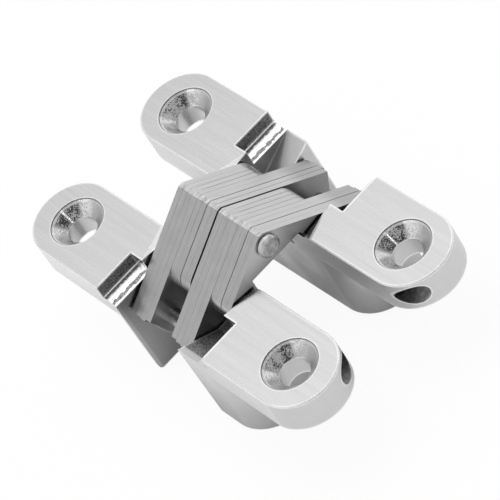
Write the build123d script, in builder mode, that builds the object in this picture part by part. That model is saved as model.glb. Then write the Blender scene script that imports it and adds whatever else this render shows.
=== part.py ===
import math
import os

from build123d import *

# Concealed invisible hinge, fully open, standing on the undersides of its two leaves.
# X runs from the front leaf to the rear leaf, Y along the leaves, Z up out of their faces.

# Leaf castings
leaf_length = 60.0
leaf_width = 12.2
leaf_pitch = 21.42
tab_thickness = 5.0
body_length = 29.8
body_depth = 17.3
face_bevel = 0.15
base_bevel = 0.4
screw_spacing = 45.7
screw_radius = 2.2
countersink_radius = 4.03
countersink_angle = 90.0

# Link plates, punched from strip and stacked in four packs
plates_per_pack = 4
plate_thickness = 1.01
tight_seam = 0.02
open_seam = 0.11
pack_gap = 0.04
middle_gap = 0.24
roof_angle = 33.3
apex_height = 5.33
ridge_height = 5.1
base_height = 0.25
roof_setback = 1.51
reach_spread = (0.0, 0.2, 0.32, 0.1)
tip_radius = 2.2
short_end_shift = 0.4
tip_trim_angle = 40.0
recess_lower_angle = -50.0
recess_upper_angle = 130.0
first_link_packs = (2, 4)

# Pin centres, measured from the leaf face and in from the sides of the leaf
centre_height = 3.0
pivot_depth = 2.35
pivot_inset = 1.95
slide_depth = 7.4
slide_inset = 4.71

# Pins
centre_pin_radius = 1.2
pivot_pin_radius = 1.25
slide_pin_radius = 1.2
head_radius = 1.65
head_height = 0.9
head_bevel = 0.35
rivet_height = 0.4
pin_end_bevel = 0.2
pivot_pin_grip = 3.2
access_radius = 1.65
slide_grip = 1.1

# Motion of the first link on the front leaf, and of the door
first_link_turn = 116.0
door_swing = 180.0

# Clearances
running_clearance = 0.05
push_clearance = 0.01
recess_clearance = 0.3
groove_clearance = 0.25
side_clearance = 0.3
slot_clearance = 0.1
head_clearance = 0.03
wall_clearance = 0.45

# Pocket details
lug_drop = 0.75
ledge_drop = 2.6
notch_length = 2.5
notch_depth = 2.05
notch_fall = 0.55
notch_curve = 0.3
notch_inset = 0.5
relief_length = 2.0
relief_start = 0.05
overcut = 1.0

# Heights above the underside, and the stack's stations along Y
face = body_depth
pack_width = plates_per_pack * plate_thickness + (plates_per_pack - 2) * tight_seam + open_seam
quarter = middle_gap / 2 + pack_width + pack_gap / 2
stack_half = quarter + pack_gap / 2 + pack_width
pocket_half = stack_half + side_clearance
filler_face = quarter + side_clearance
pack_tops = (stack_half, quarter - pack_gap / 2, -middle_gap / 2, -quarter - pack_gap / 2)
outer_edge = leaf_pitch / 2 + leaf_width / 2
inner_edge = leaf_pitch / 2 - leaf_width / 2

pivot_offset = inner_edge + pivot_inset
slide_offset = outer_edge - slide_inset
roof_reach = outer_edge - roof_setback
short_end_offset = pivot_offset + short_end_shift

roof_slope = math.tan(math.radians(roof_angle))
apex = face + apex_height
ridge = face + ridge_height
plate_base = face + base_height
centre_pin_at = (0.0, face + centre_height)
pivot_at = (pivot_offset, face - pivot_depth)
slide_at = (slide_offset, face - slide_depth)
short_end_at = (-short_end_offset, pivot_at[1])
short_end_radius = (apex - roof_slope * short_end_offset - short_end_at[1]) * math.cos(math.radians(roof_angle))
recess_radius = pivot_pin_radius + recess_clearance
swing_radius = short_end_radius + short_end_shift
slot_floor = pivot_at[1] - swing_radius - running_clearance - slot_clearance

os.makedirs("parts", exist_ok=True)


def turned(point, centre, degrees):
    """Turn a point of the XZ plane about a centre, from +X towards +Z."""
    angle = math.radians(degrees)
    dx = point[0] - centre[0]
    dz = point[1] - centre[1]
    x = centre[0] + dx * math.cos(angle) - dz * math.sin(angle)
    z = centre[1] + dx * math.sin(angle) + dz * math.cos(angle)
    return (x, z)


def slide_place(share):
    """Centre of the front slide pin when the door has made this share of its swing."""
    front_pivot = (-pivot_at[0], pivot_at[1])
    front_slide = (-slide_at[0], slide_at[1])
    first = first_link_turn * share
    second = (door_swing - first_link_turn) * share
    centre = turned(centre_pin_at, front_pivot, first)
    arm = turned(front_slide, centre_pin_at, second)
    return (centre[0] + arm[0] - centre_pin_at[0], centre[1] + arm[1] - centre_pin_at[1])


slide_path = [slide_place(0.0), slide_place(0.5), slide_place(1.0)]
wall_inside = slide_path[2][0] + tip_radius + wall_clearance


# The slide pin's way through the front leaf, close to a circular arc
with BuildLine() as groove_path:
    ThreePointArc(*slide_path)


# Front leaf: one casting. The long legs work in its deep pocket, the short legs in slots of the inner wall.
with BuildPart() as front_leaf:
    with BuildSketch(Plane.XY.offset(face)):
        with Locations((-leaf_pitch / 2, 0)):
            SlotOverall(leaf_length, leaf_width, rotation=90)
    extrude(amount=-tab_thickness)
    chamfer(front_leaf.faces().sort_by(Axis.Z)[-1].edges(), face_bevel)
    with BuildSketch(Plane.XY.offset(face - tab_thickness)):
        with Locations((-leaf_pitch / 2, 0)):
            SlotOverall(body_length, leaf_width, rotation=90)
    extrude(amount=tab_thickness - body_depth)
    chamfer(front_leaf.faces().sort_by(Axis.Z)[0].edges(), base_bevel)
    with Locations((-leaf_pitch / 2, screw_spacing / 2, face), (-leaf_pitch / 2, -screw_spacing / 2, face)):
        CounterSinkHole(screw_radius, countersink_radius, tab_thickness, countersink_angle)

    # Deep pocket for the long legs, open outwards and below. The inner wall carries the pivot pin on lugs.
    with BuildSketch(Plane.XZ.offset(-pocket_half)):
        with BuildLine():
            Polyline(
                (-outer_edge - overcut, face + overcut),
                (-inner_edge + overcut, face + overcut),
                (-inner_edge + overcut, face - lug_drop),
                (-inner_edge, face - lug_drop),
                (-pivot_offset - recess_radius / 2, pivot_at[1] - recess_radius),
                (wall_inside, slot_floor),
                (wall_inside, -overcut),
                (-outer_edge - overcut, -overcut),
                close=True,
            )
        make_face()
    extrude(amount=pocket_half + filler_face, mode=Mode.SUBTRACT)

    # Slot of the second pack's short legs
    with BuildSketch(Plane.XZ.offset(-quarter - slot_clearance)):
        with Locations((-inner_edge + overcut, slot_floor)):
            Rectangle(leaf_width / 2, body_depth, align=(Align.MAX, Align.MIN))
    extrude(amount=quarter + 2 * slot_clearance, mode=Mode.SUBTRACT)

    # Slot of the fourth pack's short legs, over a sloping ledge that closes the pocket's near end
    with BuildSketch(Plane.XZ.offset(quarter - slot_clearance)):
        with BuildLine():
            Polyline(
                (-outer_edge - overcut, face + overcut),
                (-inner_edge + overcut, face + overcut),
                (-inner_edge + overcut, slot_floor),
                (-leaf_pitch / 2, slot_floor),
                (-outer_edge, face - ledge_drop),
                (-outer_edge - overcut, face - ledge_drop),
                close=True,
            )
        make_face()
    extrude(amount=pocket_half - quarter + slot_clearance, mode=Mode.SUBTRACT)

    # Notches that take the centre pin's heads when the door is shut. Their floors fall towards the pocket.
    for end in (1, -1):
        with BuildSketch(Plane.YZ.offset(-outer_edge - overcut)) as notch:
            with BuildLine():
                Polyline(
                    (end * (pocket_half - overcut), face + overcut),
                    (end * (pocket_half + notch_length), face + overcut),
                    (end * (pocket_half + notch_length), face - notch_depth),
                    (end * pocket_half, face - notch_depth - notch_fall),
                    (end * (pocket_half - overcut), face - notch_depth - notch_fall),
                    close=True,
                )
            make_face()
            corner = notch.vertices().sort_by_distance((end * (pocket_half + notch_length), face - notch_depth))[0]
            fillet(corner, notch_curve)
        extrude(amount=leaf_width / 2 + overcut + notch_inset, mode=Mode.SUBTRACT)

    # Sloping reliefs on the inner half of both pocket ends
    for end in (1, -1):
        near_side = end * (pocket_half - relief_start)
        for station, length, depth in (
            (-leaf_pitch / 2 + notch_inset, relief_start, relief_start),
            (-inner_edge, relief_length, lug_drop),
        ):
            with BuildSketch(Plane.YZ.offset(station)):
                with BuildLine():
                    Polyline(
                        (near_side, face + relief_start),
                        (end * (pocket_half + length), face + relief_start),
                        (near_side, face - depth),
                        close=True,
                    )
                make_face()
        loft(mode=Mode.SUBTRACT)

    # Pivot bore, with a wider access bore from each end of the leaf
    with BuildSketch(Plane.XZ.offset(-leaf_length / 2)):
        with Locations((-pivot_offset, pivot_at[1])):
            Circle(pivot_pin_radius + push_clearance)
    extrude(amount=leaf_length, mode=Mode.SUBTRACT)
    for start in (-leaf_length / 2, pocket_half + pivot_pin_grip):
        with BuildSketch(Plane.XZ.offset(start)):
            with Locations((-pivot_offset, pivot_at[1])):
                Circle(access_radius)
        extrude(amount=leaf_length / 2 - pocket_half - pivot_pin_grip, mode=Mode.SUBTRACT)

    # Curved grooves that guide the slide pin, in both ends of the deep pocket
    for start in (-pocket_half - slide_grip - slot_clearance, filler_face - overcut):
        with BuildSketch(Plane.XZ.offset(start)):
            SlotArc(groove_path.edges()[0], 2 * (slide_pin_radius + groove_clearance))
        extrude(amount=slide_grip + slot_clearance + overcut, mode=Mode.SUBTRACT)
front_leaf.part.label = "front_leaf"
export_step(front_leaf.part, "parts/front_leaf.step")


# Rear leaf: the same casting, turned half a turn about the vertical
with BuildPart() as rear_leaf:
    add(front_leaf.part.rotate(Axis.Z, 180))
rear_leaf.part.label = "rear_leaf"
export_step(rear_leaf.part, "parts/rear_leaf.step")


# Link plates. The first link (packs 2 and 4) pivots on the front leaf and slides in the rear one,
# the second link (packs 1 and 3) is its mirror image. Pins that ride with a link are a push fit in it.
# The first link's packs have an open seam in the middle, the second link's lie tight in front.
for pack, pack_top in enumerate(pack_tops, start=1):
    first_link = pack in first_link_packs
    centre_hole = centre_pin_radius + (push_clearance if first_link else running_clearance)
    open_from = plates_per_pack / 2 if first_link else 0
    for layer in range(plates_per_pack):
        reach = roof_reach + reach_spread[layer % len(reach_spread)]
        layer_top = pack_top - layer * (plate_thickness + tight_seam)
        if layer >= open_from:
            layer_top -= open_seam - tight_seam
        with BuildPart() as plate:
            with BuildSketch(Plane.XZ.offset(-layer_top)) as outline:
                with BuildLine():
                    Polyline(
                        ((ridge - apex) / roof_slope, ridge),
                        ((apex - ridge) / roof_slope, ridge),
                        (reach, apex - roof_slope * reach),
                        (slide_at[0] + tip_radius, slide_at[1]),
                        slide_at,
                        turned((slide_at[0] - tip_radius, slide_at[1]), slide_at, tip_trim_angle),
                        turned((pivot_at[0] + recess_radius, pivot_at[1]), pivot_at, recess_lower_angle),
                        turned((pivot_at[0] + recess_radius, pivot_at[1]), pivot_at, recess_upper_angle),
                        (inner_edge, plate_base),
                        (short_end_at[0] + short_end_radius, plate_base),
                        (short_end_at[0] + short_end_radius, short_end_at[1]),
                        short_end_at,
                        turned((short_end_at[0], short_end_at[1] + short_end_radius), short_end_at, roof_angle),
                        close=True,
                    )
                make_face()
                with Locations(slide_at):
                    Circle(tip_radius)
                with Locations(short_end_at):
                    Circle(short_end_radius)
                with Locations(pivot_at):
                    Circle(recess_radius, mode=Mode.SUBTRACT)
                with Locations(centre_pin_at):
                    Circle(centre_hole, mode=Mode.SUBTRACT)
                with Locations((-pivot_at[0], pivot_at[1])):
                    Circle(pivot_pin_radius + running_clearance, mode=Mode.SUBTRACT)
                with Locations(slide_at):
                    Circle(slide_pin_radius + push_clearance, mode=Mode.SUBTRACT)
                if not first_link:
                    mirror(about=Plane.YZ, mode=Mode.REPLACE)
            extrude(amount=plate_thickness)
        plate_name = f"link_plate_{pack}_{layer + 1}"
        plate.part.label = plate_name
        export_step(plate.part, f"parts/{plate_name}.step")


# Centre pin: a steel shank through the whole stack, with a bevelled head in front, riveted over low behind
with BuildPart() as centre_pin:
    with BuildSketch(Plane.XZ.offset(-stack_half - head_clearance)):
        with Locations(centre_pin_at):
            Circle(centre_pin_radius)
    extrude(amount=2 * (stack_half + head_clearance))
    with BuildSketch(Plane.XZ.offset(stack_half + head_clearance)):
        with Locations(centre_pin_at):
            Circle(head_radius)
    extrude(amount=head_height)
    chamfer(centre_pin.faces().sort_by(Axis.Y)[0].edges(), head_bevel)
    with BuildSketch(Plane.XZ.offset(-stack_half - head_clearance - rivet_height)):
        with Locations(centre_pin_at):
            Circle(head_radius)
    extrude(amount=rivet_height)
    chamfer(centre_pin.faces().sort_by(Axis.Y)[-1].edges(), rivet_height / 2)
centre_pin.part.label = "centre_pin"
export_step(centre_pin.part, "parts/centre_pin.step")


# Pivot pins: ground steel pins, held in the leaf on both sides of the pocket
with BuildPart() as front_pivot_pin:
    with BuildSketch(Plane.XZ.offset(-pocket_half - pivot_pin_grip)):
        with Locations((-pivot_offset, pivot_at[1])):
            Circle(pivot_pin_radius)
    extrude(amount=2 * (pocket_half + pivot_pin_grip))
    chamfer(front_pivot_pin.edges().filter_by(GeomType.CIRCLE), pin_end_bevel)
front_pivot_pin.part.label = "front_pivot_pin"
export_step(front_pivot_pin.part, "parts/front_pivot_pin.step")

with BuildPart() as rear_pivot_pin:
    add(front_pivot_pin.part.rotate(Axis.Z, 180))
rear_pivot_pin.part.label = "rear_pivot_pin"
export_step(rear_pivot_pin.part, "parts/rear_pivot_pin.step")


# Slide pins: each rides with the long legs of one link, its ends guided by the grooves of a leaf
with BuildPart() as front_slide_pin:
    with BuildSketch(Plane.XZ.offset(-pocket_half - slide_grip)):
        with Locations((-slide_at[0], slide_at[1])):
            Circle(slide_pin_radius)
    extrude(amount=pocket_half + filler_face + 2 * slide_grip)
    chamfer(front_slide_pin.edges().filter_by(GeomType.CIRCLE), pin_end_bevel)
front_slide_pin.part.label = "front_slide_pin"
export_step(front_slide_pin.part, "parts/front_slide_pin.step")

with BuildPart() as rear_slide_pin:
    add(front_slide_pin.part.rotate(Axis.Z, 180))
rear_slide_pin.part.label = "rear_slide_pin"
export_step(rear_slide_pin.part, "parts/rear_slide_pin.step")
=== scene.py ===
import bpy
from mathutils import Matrix, Vector


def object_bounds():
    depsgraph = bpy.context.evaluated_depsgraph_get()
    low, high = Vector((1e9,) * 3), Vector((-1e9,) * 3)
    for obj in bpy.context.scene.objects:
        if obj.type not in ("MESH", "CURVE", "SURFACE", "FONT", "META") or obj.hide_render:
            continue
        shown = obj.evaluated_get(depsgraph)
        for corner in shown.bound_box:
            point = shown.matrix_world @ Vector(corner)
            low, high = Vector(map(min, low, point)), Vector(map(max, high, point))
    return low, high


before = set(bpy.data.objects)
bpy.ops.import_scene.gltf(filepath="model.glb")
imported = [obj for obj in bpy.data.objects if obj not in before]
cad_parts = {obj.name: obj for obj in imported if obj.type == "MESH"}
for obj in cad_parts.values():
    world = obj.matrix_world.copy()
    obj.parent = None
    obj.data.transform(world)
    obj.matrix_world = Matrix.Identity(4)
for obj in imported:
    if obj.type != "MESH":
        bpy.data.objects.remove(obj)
solid_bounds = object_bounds()


# The two leaves: one zinc die casting used twice, plated in satin silver. Only the faces are brushed,
# along their length. The notches keep a sandy casting skin with painted shade and painted highlight bands,
# the edges carry a painted highlight, and one countersink of each casting is duller than the other.
class Flow:
    """A shader socket that takes part in ordinary arithmetic."""

    def __init__(self, tree, socket=None):
        self.tree = tree
        self.socket = socket

    def node(self, kind, settings=None, sockets=None, output=0):
        """A new node: its settings are made first, then its sockets are set or linked."""
        made = self.tree.nodes.new(kind)
        for name, value in (settings or {}).items():
            setattr(made, name, value)
        for name, value in (sockets or {}).items():
            if isinstance(value, Flow):
                self.tree.links.new(value.socket, made.inputs[name])
            else:
                made.inputs[name].default_value = value
        return Flow(self.tree, made.outputs[output])

    def maths(self, operation, first, second=0.0):
        return self.node("ShaderNodeMath", {"operation": operation}, {0: first, 1: second})

    def __add__(self, other):
        return self.maths("ADD", self, other)

    def __radd__(self, other):
        return self.maths("ADD", other, self)

    def __sub__(self, other):
        return self.maths("SUBTRACT", self, other)

    def __rsub__(self, other):
        return self.maths("SUBTRACT", other, self)

    def __mul__(self, other):
        return self.maths("MULTIPLY", self, other)

    def __rmul__(self, other):
        return self.maths("MULTIPLY", other, self)

    def __pow__(self, other):
        return self.maths("POWER", self, other)

    def __abs__(self):
        return self.maths("ABSOLUTE", self)

    def larger(self, other):
        """The larger of two values."""
        return self.maths("MAXIMUM", self, other)

    def rise(self, low, high):
        """0 below low, 1 above high, smooth between."""
        return self.node(
            "ShaderNodeMapRange",
            {"interpolation_type": "SMOOTHSTEP"},
            {"Value": self, "From Min": low, "From Max": high},
        )

    def fall(self, low, high):
        """1 below low, 0 above high, smooth between."""
        return 1.0 - self.rise(low, high)

    def band(self, outer_low, inner_low, inner_high, outer_high):
        """1 between the inner limits, 0 outside the outer ones, smooth between."""
        return self.rise(outer_low, inner_low) * self.fall(inner_high, outer_high)

    def darker(self, mask, share):
        """The value, less this share of it where the mask is 1."""
        return self * (1.0 - mask * share)

    def grain(self, x, y, z, detail=3.0):
        """Noise of this many cells per millimetre along each axis."""
        per_metre = (x * 1000, y * 1000, z * 1000)
        stretched = self.node("ShaderNodeMapping", sockets={"Vector": self, "Scale": per_metre})
        return self.node("ShaderNodeTexNoise", sockets={"Vector": stretched, "Scale": 1.0, "Detail": detail})

    def cosine(self, direction):
        """The cosine between this direction and another."""
        return self.node("ShaderNodeVectorMath", {"operation": "DOT_PRODUCT"}, {0: self, 1: direction}, "Value")

    def grey(self):
        """The value as a neutral colour."""
        return self.node("ShaderNodeCombineColor", sockets={"Red": self, "Green": self, "Blue": self})

    def bump(self, strength, distance, **normal):
        """The surface's normal, tilted by the value as a height."""
        relief = {"Height": self, "Strength": strength, "Distance": distance}
        return self.node("ShaderNodeBump", sockets={**relief, **normal})


def start_metal(name):
    """A bare metal, with its shader, its place and that place's millimetres along X, Y and Z."""
    metal = bpy.data.materials.new(name)
    metal.use_nodes = True
    shader = metal.node_tree.nodes["Principled BSDF"]
    shader.inputs["Metallic"].default_value = 1.0
    place = Flow(metal.node_tree).node("ShaderNodeTexCoord", output="Object")
    axes = []
    for axis in ("X", "Y", "Z"):
        axes.append(place.node("ShaderNodeSeparateXYZ", sockets={"Vector": place}, output=axis) * 1000.0)
    return metal, shader, place, axes


def feed(shader, socket, flow):
    """Lead a varying value into one of the shader's sockets."""
    flow.tree.links.new(flow.socket, shader.inputs[socket])


def dress(name, metal):
    """Give one of the hinge's pieces its metal."""
    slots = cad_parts[name].data.materials
    slots.clear()
    slots.append(metal)


face_height = 17.3
inner_x, outer_x = 4.61, 16.81
screw_x, screw_y = 10.71, 22.85
hole_radius, lip_radius, sink_radius = 2.2, 3.65, 4.03
notch_x, notch_y, notch_end_y, notch_z = 10.1, 8.7, 11.5, 14.5
pivot_x, pivot_z, bore_radius_squared = 6.56, 14.95, 2.8

plating, plating_shader, plating_place, (leaf_x, leaf_y, leaf_z) = start_metal("satin_plating")
across = abs(leaf_x)
along = abs(leaf_y)
depth = face_height - leaf_z
below_face = depth.rise(0.02, 0.12)
on_face = 1.0 - below_face

brushing = plating_place.grain(7.0, 0.12, 7.0)
broad_brushing = plating_place.grain(1.6, 0.05, 1.6, 2.0)
sand = plating_place.grain(5.0, 5.0, 5.0, 2.0)
patches = plating_place.grain(0.8, 0.8, 0.8, 2.0)
blotches = plating_place.grain(1.6, 1.6, 1.6, 2.0)
reflection_waves = plating_place.grain(0.12, 0.12, 0.12, 1.0).rise(0.42, 0.56)

from_screw = ((across - screw_x) ** 2.0 + (along - screw_y) ** 2.0) ** 0.5
cone = from_screw.band(hole_radius, hole_radius + 0.1, sink_radius - 0.03, sink_radius + 0.02) * below_face
lip = (from_screw - lip_radius).larger(0.0) * cone
# Painted shade: a thin dark ring just inside each countersink's rim, where its top edge is shadowed.
rim_shade_line = from_screw.rise(sink_radius - 0.19, sink_radius - 0.13) * cone
dull_sink = (leaf_x * leaf_y).rise(-10.0, 10.0)
pits = plating_place.grain(6.0, 6.0, 6.0, 1.0) + (patches - 0.5) * 0.8 + dull_sink * 0.04
toward_far = leaf_y - leaf_y.maths("SIGN", leaf_y) * screw_y
far_wall = toward_far.rise(-1.0, 1.0)
streak = abs(across - screw_x).fall(0.1, 0.3) * (1.0 - dull_sink)
pitted = cone * pits.rise(0.48, 0.56) * far_wall * (1.0 - streak)
# Painted reflection: the far half of each countersink darkened as if mirroring the dark room, leaving out the
# pitted spots and the lamp's streak.
cone_dark_reflection = cone * (toward_far - from_screw * 0.7).rise(0.0, 0.3) * (1.0 - pitted) * (1.0 - streak)

# Painted highlight along the edges: a light line where the rounded normal parts from the flat one, and along
# the rounded rim of the face, kept off the outer side at negative X.
rounded = plating_place.node("ShaderNodeBevel", {"samples": 8}, {"Radius": 0.0005})
flat = plating_place.node("ShaderNodeNewGeometry", output="Normal")
edge = (1.0 - rounded.cosine(flat)).rise(0.008, 0.05) * (1.0 - cone)
fillet = leaf_z.rise(face_height - 0.25, face_height - 0.18) * depth.rise(0.003, 0.015) * (1.0 - cone)
edge = (edge * leaf_x.rise(0.31 - outer_x, 0.51 - outer_x)).larger(fillet)

notch = along.band(notch_y, notch_y + 0.05, notch_end_y - 0.08, notch_end_y)
notch = notch * across.band(notch_x, notch_x + 0.05, outer_x - 0.09, outer_x - 0.03)
notch = notch * leaf_z.rise(notch_z, notch_z + 0.1) * below_face * (1.0 - edge)
# Painted shade on the notches' end walls and in bands across their far floors, with a sandy as-cast grain and
# roughness.
notch_end = along.rise(notch_end_y - 0.3, notch_end_y - 0.2) * notch
marked = leaf_y.rise(-1.0, 1.0).larger(leaf_x.rise(0.41 - outer_x, 0.61 - outer_x)) * notch
uneven = along + (blotches - 0.5) * 0.7
floor_shade_band = uneven.band(9.12, 9.22, 9.62, 9.72) * marked
corner_shade_band = uneven.rise(10.5, 10.7) * along.fall(10.95, 11.05) * marked
notch_shade_bands = floor_shade_band + corner_shade_band
# The ledge at the near end of the front leaf's pocket gets painted shade, as it sits deep in the recess.
ledge = leaf_x.band(-16.0, -15.6, -4.7, -4.65) * leaf_y.band(-8.85, -8.8, -4.3, -4.2) * below_face
cast_and_shade = notch_end + ledge

inner_side = across.fall(inner_x + 0.02, inner_x + 0.07)
outer_side = across.rise(outer_x - 0.11, outer_x - 0.03)
pocket = leaf_x.band(-16.5, -16.2, -5.4, -5.2) * leaf_z.fall(notch_z, notch_z + 0.1)
far_cheek = leaf_y.band(-4.3, -4.0, 9.0, 9.1) * pocket
from_pivot = (across - pivot_x) ** 2.0 + (leaf_z - pivot_z) ** 2.0
in_bore = from_pivot.fall(bore_radius_squared - 0.05, bore_radius_squared + 0.05) * along.rise(12.0, 12.5)

plating_grey, satin_contrast, cast_contrast = 0.62, 0.10, 0.06
cone_gain, edge_highlight_gain, cove_highlight_gain = 0.06, 0.3, 0.3
rim_shade_loss, shade_loss, sand_contrast = 0.4, 0.38, 0.9
plating_tone = plating_grey + (brushing + broad_brushing - 1.0) * on_face * satin_contrast
plating_tone = plating_tone + (patches - 0.5) * below_face * cast_contrast
# Painted reflection: the lower inner side lightened as if mirroring the white table, in uneven waves.
plating_tone = plating_tone + inner_side * leaf_z.fall(8.0, 14.5) * (0.35 - reflection_waves * 0.2)
# Painted shade in a dark ring inside each countersink's rim, and a painted highlight along the edges.
plating_tone = plating_tone + cone * cone_gain - rim_shade_line * rim_shade_loss + edge * edge_highlight_gain
# Painted highlight: the notch floors lightened where they would mirror the bright sky, apart from the end walls
# and the dark bands.
plating_tone = plating_tone + (notch - notch_end - notch_shade_bands) * cove_highlight_gain
# Painted shade with a sandy grain on the notch end walls, the floor bands and the ledge.
plating_tone = plating_tone + (cast_and_shade + notch_shade_bands) * ((sand - 0.5) * sand_contrast - shade_loss)
# More painted shade on the ledge, away from its outer end.
plating_tone = plating_tone.darker(ledge * leaf_x.rise(-15.0, -14.0), 0.3)
plating_tone = plating_tone.darker(leaf_z.fall(2.0, 12.0), 0.14)
# Painted dark reflection on the countersinks' far halves, and blotchy painted shade inside the pivot bores.
plating_tone = plating_tone.darker(cone_dark_reflection, 0.5).darker(in_bore, 0.85 - blotches * 0.9)
# Painted shade on the far cheek inside the pocket.
plating_tone = plating_tone.darker(far_cheek, 0.25)
# Painted light and shade: the outer side lighter towards the face and darker towards the table.
plating_tone = plating_tone + outer_side * (leaf_z.rise(0.0, 17.0) * 0.2 - 0.1)
feed(plating_shader, "Base Color", plating_tone.grey())

satin_rough = 0.27
plating_rough = satin_rough + (brushing - 0.5) * on_face * satin_contrast
plating_rough = plating_rough + cone * (0.15 - far_wall * (0.25 - dull_sink * 0.03))
plating_rough = plating_rough + pitted * 0.5 + cast_and_shade * 0.3 + (fillet + in_bore) * 0.4
feed(plating_shader, "Roughness", plating_rough)

brush_height, sand_height, lip_height = 0.005, 0.03, 0.4
plating_relief = brushing * on_face * brush_height + sand * cast_and_shade * sand_height - lip * lip_height
feed(plating_shader, "Normal", plating_relief.bump(1.0, 0.001))
for leaf in ("front_leaf", "rear_leaf"):
    dress(leaf, plating)


# The link plates: sixteen steel stampings in four packs. Their sheared edges make the sloping roofs,
# drawn into fine lines across the packs, and the ridge is ground to a narrow bright flat.
ridge_z = 22.3
stack_end_y = -8.53
seams = ((6.40, 0.4), (5.37, 0.5), (1.14, 0.4), (-1.23, 0.5), (-2.26, 0.5), (-3.29, 0.4))

steel, steel_shader, steel_place, (plate_x, plate_y, plate_z) = start_metal("sheared_steel")
shear_lines = steel_place.grain(0.15, 9.0, 0.15)
wear = steel_place.grain(0.6, 0.6, 0.6)
flecks = steel_place.grain(0.8, 1.4, 0.8)
ridge = plate_z.rise(ridge_z, ridge_z + 0.06)
near_ridge = plate_z.rise(19.5, ridge_z)
near_side = plate_y.fall(stack_end_y, stack_end_y + 0.03)
right_side = plate_x.rise(0.4, 2.0)

steel_grey, wear_contrast, fleck_contrast = 0.54, 0.06, 0.7
steel_tone = steel_grey + (shear_lines - 0.5) * (0.2 + near_ridge * 0.2) + (wear - 0.5) * wear_contrast
# Painted shade: the near plate's outer side darkened low down by the leaf faces and towards its right leg.
steel_tone = steel_tone.darker(near_side * plate_z.fall(16.5, 20.5), 0.5)
steel_tone = steel_tone.darker(near_side * plate_x.rise(0.5, 7.0), 0.5)
# Painted shade in the seams between plates, on the right-hand roofs only.
for seam_y, seam_shade in seams:
    steel_tone = steel_tone.darker(right_side * abs(plate_y - seam_y).fall(0.03, 0.09), seam_shade)
steel_tone = steel_tone + ridge * (flecks - 0.5) * fleck_contrast
feed(steel_shader, "Base Color", steel_tone.grey())

sheared_rough = 0.30
steel_rough = sheared_rough + (wear - 0.5) * 0.14 - ridge * 0.08 + plate_x.rise(10.0, 12.5) * 0.4
feed(steel_shader, "Roughness", steel_rough)
feed(steel_shader, "Normal", shear_lines.bump(0.2, 0.00002))
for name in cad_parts:
    if name.startswith("link_plate"):
        dress(name, steel)


# The pins: ground steel rod. The centre pin is riveted over at both ends of the stack, the pivot
# pins are pushed into the leaves, and the slide pins ride in the long legs.
centre_z = 20.3
head_y = -8.8

ground, ground_shader, ground_place, (pin_x, pin_y, pin_z) = start_metal("ground_pin")
turning_rings = ground_place.grain(0.4, 6.0, 0.4)
handling_marks = ground_place.grain(1.4, 1.4, 1.4)
from_axis_squared = pin_x ** 2.0 + (pin_z - centre_z) ** 2.0
# Painted highlight on the upper left of the centre pin's head rim, which is also rougher there.
head_rim_highlight = from_axis_squared.rise(1.6, 1.8) * pin_y.fall(head_y, head_y + 0.1)
head_rim_highlight = head_rim_highlight * (pin_z - pin_x).rise(centre_z - 0.5, centre_z + 1.5)

pin_grey, ring_contrast, mark_contrast, rim_highlight_gain = 0.40, 0.1, 0.6, 0.4
ground_tone = pin_grey + (turning_rings - 0.5) * ring_contrast + (handling_marks - 0.5) * mark_contrast
feed(ground_shader, "Base Color", (ground_tone + head_rim_highlight * rim_highlight_gain).grey())

ground_rough = 0.24
feed(ground_shader, "Roughness", ground_rough + (handling_marks - 0.5) * 0.16 + head_rim_highlight * 0.3)
ground_edges = turning_rings.node("ShaderNodeBevel", {"samples": 6}, {"Radius": 0.0003})
feed(ground_shader, "Normal", turning_rings.bump(0.2, 0.00002, Normal=ground_edges))
for pin in ("centre_pin", "front_pivot_pin", "rear_pivot_pin", "front_slide_pin", "rear_slide_pin"):
    dress(pin, ground)


# The table: a plain white sheet under the hinge. Its own colour and a soft shadow reach the eye,
# most of it as even white, as on a lit tracing table.
table_size = 4.0
paper_white = (0.9, 0.9, 0.9, 1.0)
glow_white = (1.0, 1.0, 1.0, 1.0)
seen_glow, mirrored_glow = 0.93, 0.1

bpy.ops.object.select_all(action="DESELECT")
bpy.ops.mesh.primitive_plane_add(size=table_size, location=(0.0, 0.0, solid_bounds[0][2]))
table = bpy.context.object
table.name = "table"
bpy.ops.object.transform_apply(location=True)
sheet = bpy.data.materials.new("white_sheet")
sheet.use_nodes = True
sheet_paper = sheet.node_tree.nodes["Principled BSDF"]
sheet_paper.inputs["Base Color"].default_value = paper_white
sheet_paper.inputs["Roughness"].default_value = 0.9
seen, mirrored, through = (
    Flow(sheet.node_tree).node("ShaderNodeLightPath", output=ray)
    for ray in ("Is Camera Ray", "Is Glossy Ray", "Is Transmission Ray")
)
whitening = seen * seen_glow + mirrored.larger(through) * mirrored_glow
glow = seen.node("ShaderNodeEmission", sockets={"Color": glow_white, "Strength": 1.0})
paper = Flow(sheet.node_tree, sheet_paper.outputs["BSDF"])
lit = seen.node("ShaderNodeMixShader", sockets={0: whitening, 1: paper, 2: glow})
feed(sheet.node_tree.nodes["Material Output"], "Surface", lit)
table.data.materials.append(sheet)


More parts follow.
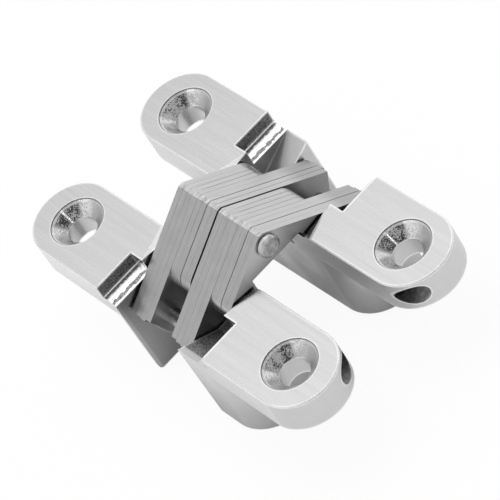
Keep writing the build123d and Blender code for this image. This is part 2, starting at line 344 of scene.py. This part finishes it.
# The studio: white walls to the left, to the right and above, and a dim room above the horizon behind the
# camera, which the polished cones mirror as dark patches. A slim lamp draws bright lines on the near edges,
# and two broad lamps, overhead and behind, light the faces evenly.
world = bpy.data.worlds.new("studio")
bpy.context.scene.world = world
world.use_nodes = True
heading = Flow(world.node_tree).node("ShaderNodeTexCoord", output="Generated")
up = (0.0, 0.0, 1.0)
left_wall = heading.cosine((-0.85, 0.0, 0.52)).rise(0.8, 0.97)
right_wall = heading.cosine((0.93, 0.36, 0.07)).rise(0.55, 0.92)
ceiling = heading.cosine(up).rise(0.64, 0.78)
behind_hinge = heading.cosine((0.0, 1.0, 0.0)).rise(-0.45, -0.2)
low_walls = heading.cosine(up).fall(0.3, 0.42)

dim_level, wall_level = 0.13, 0.53
wall_light = wall_level + left_wall * 0.35 + right_wall * 0.46 + ceiling * 0.5
sky_level = dim_level + wall_light * behind_hinge.larger(low_walls)
in_view = heading.node("ShaderNodeLightPath", output="Is Camera Ray")
feed(world.node_tree.nodes["Background"], "Color", sky_level.larger(in_view).grey())


def soft_lamp(name, place, width, height, watts):
    """A rectangular soft lamp that faces the middle of the hinge."""
    bpy.ops.object.light_add(type="AREA", location=place)
    lamp = bpy.context.object
    lamp.name = name
    lamp.data.shape = "RECTANGLE"
    lamp.data.size = width
    lamp.data.size_y = height
    lamp.data.energy = watts
    lamp.rotation_euler = (-lamp.location).to_track_quat("-Z", "Y").to_euler()
    return lamp


soft_lamp("front_lamp", (0.095, -0.37, 0.354), 0.018, 0.2, 0.055)
soft_lamp("overhead_lamp", (0.0, 0.001, 0.5), 0.25, 0.25, 0.6).visible_glossy = False
soft_lamp("rear_lamp", (0.05, 0.14, 0.3), 0.4, 0.28, 0.08)


# The camera: a long lens from the near left, looking down on the open hinge and rolled so that
# the leaves run down to the right.
camera_right = Vector((0.6772, -0.6202, -0.3959))
camera_up = Vector((0.7069, 0.3991, 0.5839))
camera_back = Vector((-0.2041, -0.6753, 0.7087))
camera_place = Vector((-0.09297, -0.3086, 0.33681))
bpy.ops.object.camera_add()
camera = bpy.context.object
camera.data.sensor_width = 36.0
camera.data.lens = 249.0
camera.data.clip_start = 0.01
turn = Matrix((camera_right, camera_up, camera_back)).transposed().to_4x4()
camera.matrix_world = Matrix.Translation(camera_place) @ turn
bpy.context.scene.camera = camera
bpy.context.scene.view_settings.view_transform = "Standard"
